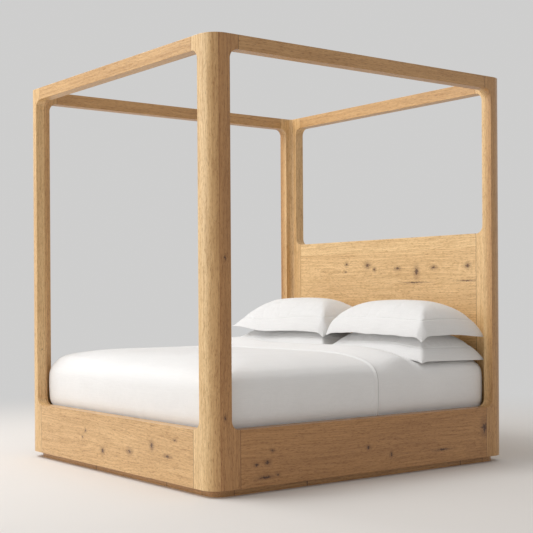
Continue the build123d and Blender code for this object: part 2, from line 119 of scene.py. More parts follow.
# Stations across a pillow from its inner end: share of its width, then heights above the mattress top of
# front rim, back rim and middle of the underside
LOWER_STATIONS = (
    (0.00, 0.004, -0.050, -0.001),
    (0.50, 0.004, -0.050, -0.001),
    (0.70, -0.008, -0.052, -0.005),
    (0.86, -0.037, -0.054, -0.013),
    (1.00, -0.047, -0.055, -0.038),
)
UPPER_STATIONS = (
    (0.00, 0.102, 0.100, 0.104),
    (0.14, 0.107, 0.101, 0.146),
    (0.30, 0.110, 0.101, 0.157),
    (0.50, 0.106, 0.102, 0.158),
    (0.70, 0.102, 0.098, 0.156),
    (0.86, 0.098, 0.092, 0.140),
    (1.00, 0.095, 0.085, 0.094),
)


def knots_on(axis, face, rows):
    """Knots on a flat face across an axis: centre, half length along the grain, half height across it."""
    knots = []
    for along, up, half_length, half_height in rows:
        centre = (along, face, up) if axis == "Y" else (face, along, up)
        knots.append((centre, half_length, half_height))
    return knots


# Knots in the oak: place along the face and its height, half length and half height
FOOT_RAIL_KNOTS = knots_on("Y", -POST_HALF_Y, (
    (-0.289, 0.232, 0.007, 0.006),
    (-0.327, 0.192, 0.006, 0.005),
    (-0.082, 0.134, 0.012, 0.010),
    (0.229, 0.161, 0.016, 0.009),
    (0.466, 0.218, 0.011, 0.014),
    (0.628, 0.176, 0.018, 0.005),
    (0.700, 0.269, 0.010, 0.004),
))
SIDE_RAIL_KNOTS = knots_on("X", POST_HALF_X, (
    (-0.725, 0.220, 0.008, 0.006),
    (-0.758, 0.160, 0.010, 0.008),
    (-0.830, 0.153, 0.008, 0.005),
    (-0.772, 0.083, 0.026, 0.006),
    (-0.690, 0.089, 0.007, 0.005),
    (-0.047, 0.178, 0.009, 0.007),
    (0.129, 0.123, 0.007, 0.010),
    (0.543, 0.116, 0.032, 0.004),
    (0.909, 0.219, 0.014, 0.026),
))
HEADBOARD_KNOTS = knots_on("Y", HEADBOARD_FACE, (
    (-0.358, 1.254, 0.010, 0.007),
    (-0.368, 1.200, 0.007, 0.004),
    (-0.135, 1.242, 0.017, 0.012),
    (-0.063, 1.212, 0.009, 0.008),
    (0.167, 1.213, 0.016, 0.007),
    (0.349, 1.189, 0.012, 0.022),
    (0.507, 1.212, 0.015, 0.008),
    (0.806, 1.217, 0.013, 0.011),
    (0.330, 1.116, 0.055, 0.0035),
    (0.797, 1.122, 0.040, 0.0035),
))
POST_KNOTS = knots_on("X", POST_HALF_X, ((-1.024, 0.408, 0.008, 0.005), (-1.020, 1.225, 0.007, 0.004)))

# How much larger a knot is drawn than it is listed, and its tightness through the thickness of a piece
KNOT_SPREAD = 1.35
KNOT_TIGHTNESS = 12.0

# Powers of a timber's tone in red, green and blue: a higher tone is paler and a lower one browner, which makes
# the painted light paler and the painted shade browner
TONE_POWERS = (1.3, 2.0, 2.8)

# Joint lines, dark joints with a painted groove shadow in them: half width with its fade, and darkness
JOINT_WIDTH = (0.0014, 0.0038)
JOINT_DARKNESS = 0.92

# Depth of the bumps in timber, cotton and metal
TIMBER_BUMP = 0.0004
COTTON_BUMP = 0.00025
METAL_BUMP = 0.00006

# What settings of one kind share
TINT = {"subtype": "COLOR", "size": 3, "min": 0.0, "max": 1.0}
SIZE = {"subtype": "DISTANCE", "unit": "LENGTH"}
WATTS = {"subtype": "POWER", "unit": "POWER", "min": 0.0, "max": 5000.0}


# Settings that a user would change
class OakSettings(bpy.types.PropertyGroup):
    """Colours and finish of the oak frame."""

    light: FloatVectorProperty(
        name="Light grain", description="Colour of the early wood", default=(0.672, 0.412, 0.180), **TINT
    )
    dark: FloatVectorProperty(
        name="Dark grain", description="Colour of the late wood", default=(0.385, 0.194, 0.062), **TINT
    )
    pore: FloatVectorProperty(
        name="Pores", description="Colour in the open pores", default=(0.215, 0.099, 0.034), **TINT
    )
    knot: FloatVectorProperty(
        name="Knots", description="Colour at the heart of a knot", default=(0.105, 0.044, 0.016), **TINT
    )
    ring: FloatProperty(
        name="Ring spacing", description="Distance between growth rings", min=0.002, max=0.03, default=0.0085,
        **SIZE,
    )


class BeddingSettings(bpy.types.PropertyGroup):
    """Sizes and colours of the bedding."""

    sheet: FloatVectorProperty(
        name="Sheet", description="Colour of the fitted sheet", default=(0.855, 0.850, 0.845), **TINT
    )
    coverlet: FloatVectorProperty(
        name="Coverlet", description="Colour of the coverlet", default=(0.850, 0.847, 0.842), **TINT
    )
    pillow: FloatVectorProperty(
        name="Pillows", description="Colour of the pillow cases", default=(0.805, 0.802, 0.797), **TINT
    )
    cover: FloatProperty(
        name="Sheet fullness", description="How far the sheet stands off the mattress", min=0, max=0.012,
        default=0.005, **SIZE,
    )
    cloth: FloatProperty(
        name="Coverlet thickness", description="Thickness of the coverlet",
        min=0.001, max=0.015, default=0.006, **SIZE,
    )
    hem: FloatProperty(
        name="Hem width", description="Width of the coverlet's hem",
        min=0.005, max=0.05, default=0.032, **SIZE,
    )
    pressure: FloatProperty(
        name="Pillow filling", description="Pressure that puffs up the pillows", min=0, max=20, default=4.0
    )
    slack: FloatProperty(
        name="Case slack", description="How much larger a case is than its filling, as a share",
        min=0, max=0.1, default=0.012,
    )
    puff_limit: FloatProperty(
        name="Puffing limit", description="Furthest that a point of a case moves as it fills",
        min=0.001, max=0.03, default=0.010, **SIZE,
    )
    frames: IntProperty(
        name="Puffing steps", description="Steps of the cloth simulation", min=1, max=60, default=20
    )


class StageSettings(bpy.types.PropertyGroup):
    """Light, floor and camera round the bed."""

    floor: FloatVectorProperty(
        name="Floor", description="Colour of the floor", default=(0.720, 0.690, 0.660), **TINT
    )
    backdrop: FloatVectorProperty(
        name="Background", description="Colour behind the bed", default=(0.620, 0.618, 0.614), **TINT
    )
    ambient: FloatProperty(
        name="Ambient light", description="Strength of the even light from all round",
        min=0, max=2, default=0.55,
    )
    key: FloatProperty(
        name="Key light", description="Power of the large soft lamp", default=460.0, **WATTS
    )
    sheen: FloatProperty(
        name="Sheen light", description="Power of the low lamp that brings out the sheen",
        default=160.0, **WATTS,
    )
    lens: FloatProperty(
        name="Lens", description="Focal length of the camera", subtype="DISTANCE_CAMERA", unit="CAMERA",
        min=10, max=300, default=76.40,
    )


# Shader building
FLOAT = "NodeSocketFloat"
VECTOR = "NodeSocketVector"
COLOUR = "NodeSocketColor"
FINISH = {"Color": COLOUR, "Roughness": FLOAT, "Height": FLOAT}


def feed(tree, made, inputs):
    """Link a node's inputs to sockets, or set them to plain values."""
    for name, value in inputs.items():
        if isinstance(value, bpy.types.NodeSocket):
            tree.links.new(value, made.inputs[name])
        else:
            made.inputs[name].default_value = value


def node(tree, kind, inputs=None, **settings):
    """Add a shader node, set its options, and link or set its inputs."""
    made = tree.nodes.new(kind)
    for name, value in settings.items():
        setattr(made, name, value)
    feed(tree, made, inputs or {})
    return made


def calc(tree, operation, first, second=0.0, clamp=False):
    """Result of a Math node."""
    made = node(tree, "ShaderNodeMath", {0: first, 1: second}, operation=operation, use_clamp=clamp)
    return made.outputs[0]


def times(tree, first, second):
    """Product of two values."""
    return calc(tree, "MULTIPLY", first, second)


def total(tree, result, *others):
    """Sum of values, added in order."""
    for other in others:
        result = calc(tree, "ADD", result, other)
    return result


def vector_calc(tree, operation, first, second=(0.0, 0.0, 0.0)):
    """Result of a Vector Math node."""
    made = node(tree, "ShaderNodeVectorMath", {0: first, 1: second}, operation=operation)
    return made.outputs["Value" if operation == "LENGTH" else "Vector"]


def parts_of(tree, vector):
    """X, Y and Z of a vector."""
    return node(tree, "ShaderNodeSeparateXYZ", {0: vector}).outputs


def fade(tree, value, low, high, start=0.0, stop=1.0):
    """Smooth step of a value from start, at low, to stop, at high."""
    inputs = {"Value": value, "From Min": low, "From Max": high, "To Min": start, "To Max": stop}
    return node(tree, "ShaderNodeMapRange", inputs, interpolation_type="SMOOTHSTEP").outputs["Result"]


def noise_outputs(tree, vector, scale, detail, roughness=0.5):
    """Noise as a value and as a colour, on coordinates that are stretched by three scales."""
    stretched = vector_calc(tree, "MULTIPLY", vector, scale)
    inputs = {"Vector": stretched, "Scale": 1.0, "Detail": detail, "Roughness": roughness}
    return node(tree, "ShaderNodeTexNoise", inputs).outputs


def grain_noise(tree, vector, scale, detail=2.0, roughness=0.5):
    """Noise from 0 to 1."""
    return noise_outputs(tree, vector, scale, detail, roughness)["Fac"]


def wander(tree, vector, scale, detail, reach):
    """Noise about zero in three directions, each with its own reach."""
    colour = noise_outputs(tree, vector, scale, detail)["Color"]
    centred = vector_calc(tree, "SUBTRACT", colour, (0.5, 0.5, 0.5))
    return vector_calc(tree, "MULTIPLY", centred, reach)


def opaque(colour):
    """A plain colour with its alpha, or a socket as it is."""
    return colour if isinstance(colour, bpy.types.NodeSocket) else (*colour, 1.0)


def mix(tree, factor, first, second, blend="MIX"):
    """Mix of two colours."""
    inputs = {0: factor, 6: opaque(first), 7: opaque(second)}
    return node(tree, "ShaderNodeMix", inputs, data_type="RGBA", blend_type=blend).outputs[2]


def new_group(name, inputs, outputs):
    """Empty node group with named sockets: its tree, the sockets that come in and its end node."""
    tree = bpy.data.node_groups.new(name, "ShaderNodeTree")
    for direction, sockets in (("INPUT", inputs), ("OUTPUT", outputs)):
        for label, kind in sockets.items():
            tree.interface.new_socket(name=label, in_out=direction, socket_type=kind)
    return tree, tree.nodes.new("NodeGroupInput").outputs, tree.nodes.new("NodeGroupOutput")


def use_group(tree, name, inputs):
    """Outputs of a node group that is placed in a tree."""
    return node(tree, "ShaderNodeGroup", inputs, node_tree=bpy.data.node_groups[name]).outputs


def new_material(name):
    """Material with its tree, its Principled shader and the coordinates of its piece."""
    material = bpy.data.materials.new(name)
    material.use_nodes = True
    tree = material.node_tree
    coords = node(tree, "ShaderNodeTexCoord").outputs["Object"]
    return material, tree, tree.nodes["Principled BSDF"], coords


def connect_finish(tree, shader, colour, roughness, height, depth):
    """Feed a shader's colour, roughness and bump."""
    bump = node(tree, "ShaderNodeBump", {"Height": height, "Distance": depth, "Strength": 1.0})
    feed(tree, shader, {"Base Color": colour, "Roughness": roughness, "Normal": bump.outputs["Normal"]})


def build_oak_knot():
    """Group: one knot, with its dark heart and crack, its stained ring and the grain's bend round it."""
    inputs = {"Vector": VECTOR, "Centre": VECTOR, "Tightness": VECTOR, "Crack": VECTOR}
    tree, start, end = new_group("oak_knot", inputs, {"Heart": FLOAT, "Ring": FLOAT, "Bend": FLOAT})
    vector = start["Vector"]
    offset = vector_calc(tree, "SUBTRACT", vector, start["Centre"])
    offset = vector_calc(tree, "ADD", offset, wander(tree, vector, (70, 70, 70), 2.0, (0.014,) * 3))
    ragged = grain_noise(tree, vector, (120, 120, 120), 4.0)
    ragged = times(tree, calc(tree, "SUBTRACT", ragged, 0.5), 2.0)
    distance, split = [
        total(tree, vector_calc(tree, "LENGTH", vector_calc(tree, "MULTIPLY", offset, start[label])), ragged)
        for label in ("Tightness", "Crack")
    ]
    heart = fade(tree, distance, 0.45, 0.95, 1.0, 0.0)
    crack = fade(tree, split, 0.35, 0.85, 0.75, 0.0)
    results = {"Heart": calc(tree, "MAXIMUM", heart, crack)}
    results["Ring"] = fade(tree, distance, 0.5, 2.9, 1.0, 0.0)
    results["Bend"] = fade(tree, distance, 0.2, 6.0, 1.0, 0.0)
    feed(tree, end, results)


def build_oak_painted_side_shade():
    """Group: painted shade on a post, darker round its corner, and again past the glue line of a foot post."""
    tree, start, end = new_group("oak_side_tone", {"Vector": VECTOR}, {"Tone": FLOAT})
    parts = parts_of(tree, start["Vector"])
    # Painted shade: the end faces stay light and the side faces grow dark across the corner
    tone = fade(tree, calc(tree, "ABSOLUTE", parts["X"]), POST_HALF_X - 0.07, POST_HALF_X, 1.14, 0.84)
    past = calc(tree, "ADD", parts["Y"], POST_HALF_Y - END_STAVE)
    at_foot = calc(tree, "LESS_THAN", parts["Y"], 0.0)
    # Painted shade: darker again past the glue line of a foot post; the glue line itself is drawn dark as a
    # joint
    side = times(tree, fade(tree, past, -0.001, 0.001, 0.0, 0.13), at_foot)
    line = fade(tree, calc(tree, "ABSOLUTE", past), 0.0004, 0.0020, 0.25, 0.0)
    kept = calc(tree, "SUBTRACT", 1.0, total(tree, side, line))
    feed(tree, end, {"Tone": times(tree, tone, kept)})


def build_oak_grain():
    """Group: oak with rings, fibres, pores and pin knots. The grain runs along X of its coordinates."""
    inputs = {"Vector": VECTOR, "Pith": VECTOR}
    inputs.update(dict.fromkeys(("Ring Spacing", "Bend", "Tone", "Heart", "Stain"), FLOAT))
    inputs.update(dict.fromkeys(("Light", "Dark", "Pore", "Knot"), COLOUR))
    tree, start, end = new_group("oak_grain", inputs, FINISH)
    vector = start["Vector"]

    # Slow sway and quick ripple of the grain
    sway = wander(tree, vector, (1.1, 4.0, 4.0), 2.0, (0.0, 0.060, 0.060))
    ripple = wander(tree, vector, (5.0, 30.0, 30.0), 3.0, (0.0, 0.006, 0.006))
    bent = vector_calc(tree, "ADD", vector, vector_calc(tree, "ADD", sway, ripple))

    # Growth rings round a pith that leans a little
    parts = parts_of(tree, vector_calc(tree, "SUBTRACT", bent, start["Pith"]))
    flat = node(tree, "ShaderNodeCombineXYZ", {"X": 0.0, "Y": parts["Y"], "Z": parts["Z"]}).outputs[0]
    lean = times(tree, parts["X"], 0.022)
    radius = total(tree, vector_calc(tree, "LENGTH", flat), lean, times(tree, start["Bend"], 0.016))
    phase = calc(tree, "FRACT", calc(tree, "DIVIDE", radius, start["Ring Spacing"]))
    early = fade(tree, phase, 0.0, 0.16, 1.0, 0.0)
    late = times(tree, fade(tree, phase, 0.35, 0.97), fade(tree, phase, 0.97, 1.0, 1.0, 0.0))

    # Figure that fades in and out over the board, fibres, streaks, mottle, ticks and pores
    drift = grain_noise(tree, vector, (1.6, 9.0, 9.0), 3.0)
    figure = fade(tree, drift, 0.30, 0.72, 0.30, 1.0)
    fibre = grain_noise(tree, bent, (6.0, 330.0, 330.0), 4.0, 0.62)
    streak = grain_noise(tree, bent, (0.9, 85.0, 85.0), 4.0, 0.6)
    mottle = grain_noise(tree, bent, (38.0, 210.0, 210.0), 3.0, 0.6)
    ticks = fade(tree, grain_noise(tree, bent, (26.0, 240.0, 240.0)), 0.63, 0.74)
    pores = fade(tree, grain_noise(tree, bent, (42.0, 760.0, 760.0)), 0.56, 0.70)
    pores = calc(tree, "MULTIPLY", pores, total(tree, times(tree, early, 0.75), 0.30), True)

    # Pin knots scattered through the timber
    cells = {"Vector": vector_calc(tree, "MULTIPLY", bent, (3.2, 5.5, 5.5)), "Scale": 1.0, "Randomness": 1.0}
    nearest = node(tree, "ShaderNodeTexVoronoi", cells).outputs["Distance"]
    pin = fade(tree, nearest, 0.008, 0.026, 1.0, 0.0)

    # Colour
    depth = total(
        tree,
        times(tree, times(tree, late, figure), 0.30),
        fade(tree, streak, 0.32, 0.70, -0.12, 0.24),
        fade(tree, fibre, 0.30, 0.72, -0.20, 0.30),
        fade(tree, mottle, 0.50, 0.68, 0.0, 0.55),
        fade(tree, drift, 0.25, 0.75, 0.16, -0.12),
    )
    depth = calc(tree, "ADD", depth, 0.14, True)
    colour = mix(tree, depth, start["Light"], start["Dark"])
    for mask, share in ((pores, 0.75), (ticks, 0.55), (start["Stain"], 0.55)):
        colour = mix(tree, times(tree, mask, share), colour, start["Pore"])
    heart = calc(tree, "MAXIMUM", start["Heart"], times(tree, pin, 0.8))
    colour = mix(tree, heart, colour, start["Knot"])
    # The tone carries painted light and shade as well as the timber's own tone
    tones = {index: calc(tree, "POWER", start["Tone"], power) for index, power in enumerate(TONE_POWERS)}
    tone = node(tree, "ShaderNodeCombineColor", tones).outputs[0]
    colour = mix(tree, 1.0, colour, tone, "MULTIPLY")

    # Satin finish, duller in the pores
    rough = total(tree, fade(tree, fibre, 0.3, 0.7, 0.33, 0.43), times(tree, pores, 0.18))
    height = calc(tree, "SUBTRACT", times(tree, fibre, 0.45), pores)
    for mask, share in ((depth, 0.35), (heart, 1.4)):
        height = calc(tree, "SUBTRACT", height, times(tree, mask, share))
    feed(tree, end, {"Color": colour, "Roughness": rough, "Height": height})


def build_cotton_weave():
    """Group: plain weave with slubs, on coordinates in metres."""
    inputs = {"Vector": VECTOR, "Thread": FLOAT, "Slub": FLOAT, "Colour": COLOUR}
    tree, start, end = new_group("cotton_weave", inputs, FINISH)
    vector = start["Vector"]
    wobble = wander(tree, vector, (70, 70, 70), 2.0, (0.0016,) * 3)
    parts = parts_of(tree, vector_calc(tree, "ADD", vector, wobble))
    threads = []
    for axis in "XYZ":
        turns = calc(tree, "DIVIDE", parts[axis], start["Thread"])
        threads.append(calc(tree, "SINE", times(tree, turns, 2 * math.pi)))
    weave = total(tree, *threads)
    slub = total(tree, *[grain_noise(tree, vector, scale, 3.0) for scale in ((7, 240, 240), (240, 7, 240))])
    slub = times(tree, calc(tree, "SUBTRACT", slub, 1.0), start["Slub"])
    cloud = fade(tree, grain_noise(tree, vector, (5, 5, 5), 3.0), 0.3, 0.7, 0.985, 1.005)
    shade = total(tree, times(tree, weave, 0.008), times(tree, slub, 0.10), cloud)
    tone = node(tree, "ShaderNodeCombineColor", dict.fromkeys(range(3), shade)).outputs[0]
    colour = mix(tree, 1.0, start["Colour"], tone, "MULTIPLY")
    rough = fade(tree, slub, -0.3, 0.3, 0.86, 0.94)
    height = total(tree, times(tree, weave, 0.30), times(tree, slub, 1.2))
    feed(tree, end, {"Color": colour, "Roughness": rough, "Height": height})


GROUP_BUILDERS = {
    "oak_knot": build_oak_knot,
    "oak_side_tone": build_oak_painted_side_shade,
    "oak_grain": build_oak_grain,
    "cotton_weave": build_cotton_weave,
}


def ensure_groups():
    """Build each shared node group once."""
    for name, build in GROUP_BUILDERS.items():
        if name not in bpy.data.node_groups:
            build()


# Turns that bring the grain of a timber onto the X axis of its pattern
GRAIN_TURNS = {"X": (0.0, 0.0, 0.0), "Y": (0.0, 0.0, -math.pi / 2), "Z": (0.0, math.pi / 2, 0.0)}


def turned(axis, point):
    """A point in the coordinates of a pattern whose grain runs along an axis."""
    x, y, z = point
    return {"X": (x, y, z), "Y": (y, -x, z), "Z": (z, y, -x)}[axis]


def knot_masks(tree, vector, knots, axis, across):
    """Heart, stain and bend of all the knots of a piece, as three sockets or plain zeros."""
    masks = {"Heart": 0.0, "Ring": 0.0, "Bend": 0.0}
    for centre, half_length, half_height in knots:
        along, over = 1 / (half_length * KNOT_SPREAD), 1 / (half_height * KNOT_SPREAD)
        inputs = {"Vector": vector, "Centre": centre}
        inputs["Tightness"] = {axis: along, across: over}
        inputs["Crack"] = {axis: 0.5 * along, across: 3.4 * over}
        for label in ("Tightness", "Crack"):
            inputs[label] = tuple(inputs[label].get(letter, KNOT_TIGHTNESS) for letter in "XYZ")
        knot = use_group(tree, "oak_knot", inputs)
        masks = {label: calc(tree, "MAXIMUM", knot[label], mask) for label, mask in masks.items()}
    return tuple(masks.values())


def joint_line(tree, coords, box, axis, seams):
    """Mask of the lines where a piece butts against its neighbours, at its ends and at any seams, with a
    painted groove shadow.
    """
    index = "XYZ".index(axis)
    along = parts_of(tree, coords)[axis]
    nearest = 1.0
    for place in (box[0][index], box[1][index], *seams):
        away = calc(tree, "ABSOLUTE", calc(tree, "SUBTRACT", along, place))
        nearest = calc(tree, "MINIMUM", away, nearest)
    return fade(tree, nearest, *JOINT_WIDTH, JOINT_DARKNESS, 0.0)


def timber_material(name, colours, box, axis, pith, tone, knots=(), across="Z", post=False, seams=None):
    """Timber for one piece: its grain along an axis, its pith at an offset from the middle of the piece."""
    material, tree, shader, coords = new_material(name)
    middle = turned(axis, (Vector(box[0]) + Vector(box[1])) / 2)
    shift = sum(ord(letter) * (index + 1) for index, letter in enumerate(name)) % 97 * 0.61
    inputs = {"Vector": coords, "Rotation": GRAIN_TURNS[axis], "Location": (shift, -middle[1], -middle[2])}
    mapped = node(tree, "ShaderNodeMapping", inputs).outputs["Vector"]
    heart, stain, bend = knot_masks(tree, coords, knots, axis, across)
    # A post takes painted shade on its side faces
    if post:
        tone = times(tree, use_group(tree, "oak_side_tone", {"Vector": coords})["Tone"], tone)
    # Joint lines: dark joints with a painted groove shadow, drawn in the knot colour
    if seams is not None:
        heart = calc(tree, "MAXIMUM", joint_line(tree, coords, box, axis, seams), heart)
    inputs = {"Vector": mapped, "Pith": (0.0, *pith), "Ring Spacing": bpy.context.scene.bed_oak.ring}
    inputs.update({"Tone": tone, "Heart": heart, "Stain": stain, "Bend": bend})
    inputs.update(zip(("Light", "Dark", "Pore", "Knot"), map(opaque, colours)))
    grain = use_group(tree, "oak_grain", inputs)
    connect_finish(tree, shader, grain["Color"], grain["Roughness"], grain["Height"], TIMBER_BUMP)
    feed(tree, shader, {"Specular IOR Level": 0.5, "Coat Weight": 0.25, "Coat Roughness": 0.32})
    return material


def oak_material(name, axis, pith, tone, **options):
    """Oak for one piece of the frame."""
    oak = bpy.context.scene.bed_oak
    colours = (oak.light, oak.dark, oak.pore, oak.knot)
    return timber_material(f"oak_{name}", colours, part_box(name), axis, pith, tone, **options)


def painted_hem_shadow(tree, coords):
    """Mask of the painted shadow of a fold along the coverlet's hem, strong where the cloth hangs and faint on
    top.
    """
    parts = parts_of(tree, coords)
    away = calc(tree, "ABSOLUTE", calc(tree, "SUBTRACT", parts["Y"], COVERLET_EDGE - HEM_SHADOW_INSET))
    # Painted shadow: full on the hanging sides, faint on top
    hanging = fade(tree, parts["Z"], MATTRESS_TOP - 0.11, MATTRESS_TOP - 0.03, 1.0, 0.1)
    return times(tree, fade(tree, away, *HEM_SHADOW_WIDTH, HEM_SHADOW_STRENGTH, 0.0), hanging)


def cotton_material(name, colour, thread, slub, sheen, with_hem_shadow=False):
    """Woven cotton, with a painted shadow along its hem where it has one."""
    material, tree, shader, coords = new_material(name)
    inputs = {"Vector": coords, "Thread": thread, "Slub": slub, "Colour": opaque(colour)}
    weave = use_group(tree, "cotton_weave", inputs)
    tint = weave["Color"]
    if with_hem_shadow:
        # Painted shadow of the hem's fold, mixed into the cloth's colour
        tint = mix(tree, painted_hem_shadow(tree, coords), tint, HEM_SHADOW_COLOUR)
    connect_finish(tree, shader, tint, weave["Roughness"], weave["Height"], COTTON_BUMP)
    feed(tree, shader, {"Specular IOR Level": 0.2, "Sheen Weight": sheen, "Sheen Roughness": 0.4})
    return material


def metal_material(name, colour, metallic, roughness, scratch):
    """Plated or lacquered steel, or moulded plastic, with fine wear."""
    material, tree, shader, coords = new_material(name)
    cloud = grain_noise(tree, coords, (60, 60, 60), 4.0)
    wear = grain_noise(tree, coords, (900, 120, 900), 3.0)
    worn = tuple(min(1.0, channel * 1.5 + 0.02) for channel in colour)
    dull = tuple(channel * 0.7 for channel in colour)
    tint = mix(tree, fade(tree, wear, 0.55, 0.80, 0.0, scratch), colour, worn)
    tint = mix(tree, fade(tree, cloud, 0.35, 0.65, 0.0, 0.25), tint, dull)
    rough = fade(tree, cloud, 0.3, 0.7, roughness - 0.06, roughness + 0.10)
    connect_finish(tree, shader, tint, rough, wear, METAL_BUMP)
    feed(tree, shader, {"Metallic": metallic})
    return material


def paint(name, material):
    """Give a CAD piece its material."""
    materials = NODES[name].data.materials
    materials.clear()
    materials.append(material)


# Bedding shapes
def spline_through(points, steps):
    """Points of a smooth line through given points, with as many steps in each span."""
    points = np.array(points, float)
    padded = np.vstack([2 * points[0] - points[1], points, 2 * points[-1] - points[-2]])
    line = []
    for index in range(len(points) - 1):
        a, b, c, d = padded[index : index + 4]
        length = np.linalg.norm(c - b)
        start = (c - a) * length / (np.linalg.norm(c - b) + np.linalg.norm(b - a))
        stop = (d - b) * length / (np.linalg.norm(d - c) + np.linalg.norm(c - b))
        for step in range(steps[index]):
            t = step / steps[index]
            line.append(
                (2 * t**3 - 3 * t**2 + 1) * b + (t**3 - 2 * t**2 + t) * start
                + (-2 * t**3 + 3 * t**2) * c + (t**3 - t**2) * stop
            )
    line.append(points[-1])
    return np.array(line)


def outline(half_x, half_y, radius, corner_steps, x_steps, y_steps):
    """Points round a rounded rectangle, anticlockwise from the lower end of its right side."""
    flat_x = half_x - radius
    flat_y = half_y - radius
    runs = []
    for turn, centre, length, steps in (
        (0, (flat_x, -flat_y), 2 * flat_y, y_steps),
        (1, (flat_x, flat_y), 2 * flat_x, x_steps),
        (2, (-flat_x, flat_y), 2 * flat_y, y_steps),
        (3, (-flat_x, -flat_y), 2 * flat_x, x_steps),
    ):
        along = Vector((-math.sin(turn * math.pi / 2), math.cos(turn * math.pi / 2)))
        out = Vector((math.cos(turn * math.pi / 2), math.sin(turn * math.pi / 2)))
        base = Vector(centre) + out * radius
        runs += [base + along * (length * step / steps) for step in range(steps)]
        pivot = Vector(centre) + along * length
        for step in range(corner_steps):
            angle = step / corner_steps * math.pi / 2
            runs.append(pivot + (out * math.cos(angle) + along * math.sin(angle)) * radius)
    return np.array([tuple(point) for point in runs])


RING_STEPS = (14, 48, 52)


def bed_rings(profile, grow, rise):
    """Rings of points round the mattress, one for each place on its profile, grown outwards and raised.

    It is squarer at the head and fuller at its left shoulder.
    """
    rings = []
    for inset, height in profile:
        radius = max(0.02, MATTRESS_CORNER + inset / 2 + grow)
        flat = outline(MATTRESS_HALF_X - inset + grow, MATTRESS_HALF_Y - inset + grow, radius, *RING_STEPS)
        squarer = HEAD_SQUARENESS * min(inset, MATTRESS_CORNER) + HEAD_REACH
        flat[:, 1] += squarer * smooth_step(flat[:, 1], 0.4, 0.9)
        shoulder = LEFT_SHOULDER * smooth_step(inset, 0.0, 0.06) * (1 - smooth_step(inset, 0.14, 0.48))
        level = SLAT_TOP + height + rise + shoulder * smooth_step(-flat[:, :1], 0.1, 0.6)
        rings.append(np.hstack([flat, level]))
    return rings


def swell_before_pillows(points):
    """Height that the sheet gains between the coverlet and the pillows, most on the left."""
    x, y = points[:, 0], points[:, 1]
    rise = smooth_step(y, COVERLET_EDGE, PILLOW_FRONT - 0.14)
    crest = rise * (1 - smooth_step(y, PILLOW_FRONT - 0.13, PILLOW_FRONT))
    inside = smooth_step(points[:, 2], MATTRESS_TOP - 0.12, MATTRESS_TOP - 0.05)
    return HEAD_SWELL * crest * inside * (1 + 0.6 * smooth_step(-x, 0.3, 0.7))


def select_only(obj):
    """Select one object alone and make it active."""
    bpy.ops.object.select_all(action="DESELECT")
    obj.select_set(True)
    bpy.context.view_layer.objects.active = obj


def mesh_object(name, points, faces):
    """New mesh object, alone in the selection and active."""
    mesh = bpy.data.meshes.new(name)
    mesh.from_pydata([tuple(point) for point in points], [], faces)
    mesh.update()
    made = bpy.data.objects.new(name, mesh)
    bpy.context.scene.collection.objects.link(made)
    select_only(made)
    return made


def skin_rings(name, rings):
    """Mesh through rings of equal counts."""
    count = len(rings[0])
    faces = []
    for level in range(len(rings) - 1):
        for index in range(count):
            after = (index + 1) % count
            low, high = level * count, (level + 1) * count
            faces.append((low + index, low + after, high + after, high + index))
    return mesh_object(name, np.vstack(rings), faces)


def close_ring(obj, first, count):
    """Fill a ring of points with a grid of faces."""
    for vertex in obj.data.vertices:
        vertex.select = first <= vertex.index < first + count
    chosen = range(first, first + count)
    for edge in obj.data.edges:
        edge.select = all(index in chosen for index in edge.vertices)
    for face in obj.data.polygons:
        face.select = False
    bpy.ops.object.mode_set(mode="EDIT")
    bpy.ops.mesh.select_mode(type="EDGE")
    bpy.ops.mesh.fill_grid(span=RING_STEPS[2] + RING_STEPS[0], offset=0)
    bpy.ops.object.mode_set(mode="OBJECT")


def edit_all(obj, *steps):
    """Run edit-mode operators on the whole mesh, each a function and its options."""
    select_only(obj)
    bpy.ops.object.mode_set(mode="EDIT")
    bpy.ops.mesh.select_all(action="SELECT")
    for operator, options in steps:
        operator(**options)
    bpy.ops.object.mode_set(mode="OBJECT")


def apply_modifier(obj, kind, **settings):
    """Add a modifier, set it and apply it."""
    select_only(obj)
    made = obj.modifiers.new(kind.title(), kind)
    for name, value in settings.items():
        setattr(made, name, value)
    bpy.ops.object.modifier_apply(modifier=made.name)


def points_of(obj, field="co"):
    """Points of a mesh as an array, or the normals at them."""
    flat = np.zeros(len(obj.data.vertices) * 3)
    obj.data.vertices.foreach_get(field, flat)
    return flat.reshape(-1, 3)


def set_points(obj, points):
    """Move the points of a mesh."""
    obj.data.vertices.foreach_set("co", np.ascontiguousarray(points).ravel())
    obj.data.update()


def waves(points, scale, seed):
    """Smooth noise from -1 to 1 at each point, on coordinates multiplied by a scale."""
    scaled = points * np.array(scale) + seed
    return np.array([noise.noise(Vector(point)) for point in scaled])


def smooth_step(value, low, high):
    """Smooth rise from 0, at low, to 1, at high."""
    t = np.clip((value - low) / (high - low), 0.0, 1.0)
    return t * t * (3 - 2 * t)


def folds(points, rows, swell):
    """Rise of a cloth's small folds and of its slow swell at each point."""
    rise = np.zeros(len(points))
    for scale, seed, depth, low, high in rows:
        held = smooth_step(points[:, 2], SLAT_TOP + low, SLAT_TOP + high)
        rise += waves(points, scale, seed) * depth * (1 - held)
    scale, seed, depth = swell
    return rise + waves(points, scale, seed) * depth


def finish_soft(obj, material, slot, *nodes):
    """Last steps of a soft piece: shading, material, body and the solids that it stands for."""
    select_only(obj)
    bpy.ops.object.shade_smooth()
    obj.data.materials.append(material)
    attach(obj, "bed")
    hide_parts(*nodes)


